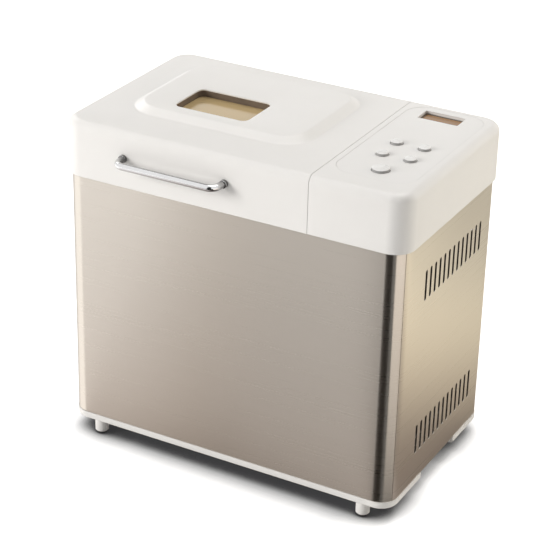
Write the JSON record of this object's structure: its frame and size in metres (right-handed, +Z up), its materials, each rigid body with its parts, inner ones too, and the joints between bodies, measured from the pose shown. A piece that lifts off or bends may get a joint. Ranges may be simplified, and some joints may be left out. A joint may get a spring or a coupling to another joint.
{
  "type": "bread machine",
  "caption": "Household bread machine: white hinged lid with window and bar handle, side console with push buttons, brushed steel body, oven with removable kneading pan and belt drive.",
  "frame": {"origin": "centre of the overall bounding box in plan, on the floor under the foot pads", "axes": "+Z up, -Y towards the lid's handle at the front, +X towards the control console"},
  "size_m": [0.35, 0.2432, 0.3333],
  "materials": {
    "white_shell": "smooth moulded",
    "white_base": "fine moulded grain",
    "brushed_skin": "horizontal brushing",
    "chrome_bar": "polished",
    "tinted_glass": "polished, warm tint",
    "display_tint": "polished, dark tint",
    "overlay_film": "satin film",
    "button_cap": "smooth moulded",
    "soft_rubber": "matt",
    "seal_rubber": "matt",
    "grey_deck": "fine moulded grain",
    "liner_sheet": "satin",
    "oven_sheet": "plain sheet",
    "chassis_zinc": "zinc plated",
    "element_sheath": "oxidised",
    "coated_pan": "non-stick coating",
    "cast_metal": "as cast",
    "turned_steel": "turned",
    "circuit_laminate": "solder mask",
    "black_plastic": "fine moulded grain",
    "motor_case": "cast and laminated",
    "belt_rubber": "matt"
  },
  "bodies": {
    "machine": {"base_tray": "white_base", "feet": "white_base", "foot_pads": "soft_rubber", "front_panel": "brushed_skin", "right_side_panel": "brushed_skin", "left_side_panel": "brushed_skin", "back_panel": "brushed_skin", "cord_gland": "black_plastic", "top_deck": "grey_deck", "lid_bumpers": "soft_rubber", "console_housing": "white_shell", "control_overlay": "overlay_film", "display_lens": "display_tint", "display_module": "black_plastic", "control_board": "circuit_laminate", "button_switches": "black_plastic", "hinge_brackets": "chassis_zinc", "hinge_pins": "turned_steel", "oven_chamber": "oven_sheet", "heating_element": "element_sheath", "element_brackets": "chassis_zinc", "temperature_sensor": "turned_steel", "thermal_fuse": "turned_steel", "heat_shield": "oven_sheet", "chassis_plate": "chassis_zinc", "chamber_standoffs": "turned_steel", "bearing_housing": "cast_metal", "drive_belt": "belt_rubber", "motor": "motor_case", "motor_mounts": "soft_rubber", "motor_capacitor": "black_plastic", "power_board": "circuit_laminate", "power_transformer": "motor_case", "pan_seat": "cast_metal", "pan_clips": "turned_steel"},
    "lid": {"lid_shell": "white_shell", "lid_liner": "liner_sheet", "viewing_window": "tinted_glass", "window_gasket": "seal_rubber", "lid_handle": "chrome_bar", "handle_screws": "turned_steel"},
    "pan": {"bread_pan": "coated_pan", "pan_base": "cast_metal", "pan_ears": "turned_steel", "shaft_bush": "turned_steel"},
    "start_button": {"start_button": "button_cap"},
    "menu_button": {"menu_button": "button_cap"},
    "size_button": {"size_button": "button_cap"},
    "crust_button": {"crust_button": "button_cap"},
    "timer_button": {"timer_button": "button_cap"},
    "pan_handle": {"pan_handle": "turned_steel"},
    "pan_spindle": {"pan_shaft": "turned_steel", "upper_coupling": "cast_metal"},
    "paddle": {"kneading_paddle": "coated_pan"},
    "drive": {"drive_shaft": "turned_steel", "lower_coupling": "cast_metal", "large_pulley": "black_plastic"},
    "motor_rotor": {"motor_shaft": "turned_steel", "motor_pulley": "cast_metal", "motor_fan": "black_plastic"}
  },
  "joints": [
    {"name": "lid_hinge", "type": "hinge", "parent": "machine", "child": "lid", "pos_m": [-0.04719, 0.11615, 0.2693], "axis": [-1, 0, 0], "range_deg": [0, 100]},
    {"name": "start_press", "type": "slide", "parent": "machine", "child": "start_button", "axis": [0, 0, -1], "range_m": [0, 0.001], "stiffness_N_per_m": 500},
    {"name": "menu_press", "type": "slide", "parent": "machine", "child": "menu_button", "axis": [0, 0, -1], "range_m": [0, 0.001], "stiffness_N_per_m": 500},
    {"name": "size_press", "type": "slide", "parent": "machine", "child": "size_button", "axis": [0, 0, -1], "range_m": [0, 0.001], "stiffness_N_per_m": 500},
    {"name": "crust_press", "type": "slide", "parent": "machine", "child": "crust_button", "axis": [0, 0, -1], "range_m": [0, 0.001], "stiffness_N_per_m": 500},
    {"name": "timer_press", "type": "slide", "parent": "machine", "child": "timer_button", "axis": [0, 0, -1], "range_m": [0, 0.001], "stiffness_N_per_m": 500},
    {"name": "pan_lift", "type": "slide", "parent": "machine", "child": "pan", "axis": [0, 0, 1], "range_m": [0, 0.025]},
    {"name": "pan_handle_swing", "type": "hinge", "parent": "pan", "child": "pan_handle", "pos_m": [-0.04719, 0.00365, 0.1949], "axis": [1, 0, 0], "range_deg": [0, 180]},
    {"name": "spindle_spin", "type": "hinge", "parent": "pan", "child": "pan_spindle", "pos_m": [-0.04719, 0.00365, 0.1], "axis": [0, 0, 1], "continuous": true},
    {"name": "paddle_lift", "type": "slide", "parent": "pan_spindle", "child": "paddle", "axis": [0, 0, 1], "range_m": [0, 0.04]},
    {"name": "drive_spin", "type": "hinge", "parent": "machine", "child": "drive", "pos_m": [-0.04719, 0.00365, 0.06], "axis": [0, 0, 1], "continuous": true},
    {"name": "motor_spin", "type": "hinge", "parent": "machine", "child": "motor_rotor", "pos_m": [0.11999, 0.00365, 0.06], "axis": [0, 0, 1], "continuous": true}
  ],
  "couplings": [
    {"joint": "spindle_spin", "follows": "drive_spin", "ratio": 1},
    {"joint": "motor_spin", "follows": "drive_spin", "ratio": 5}
  ]
}
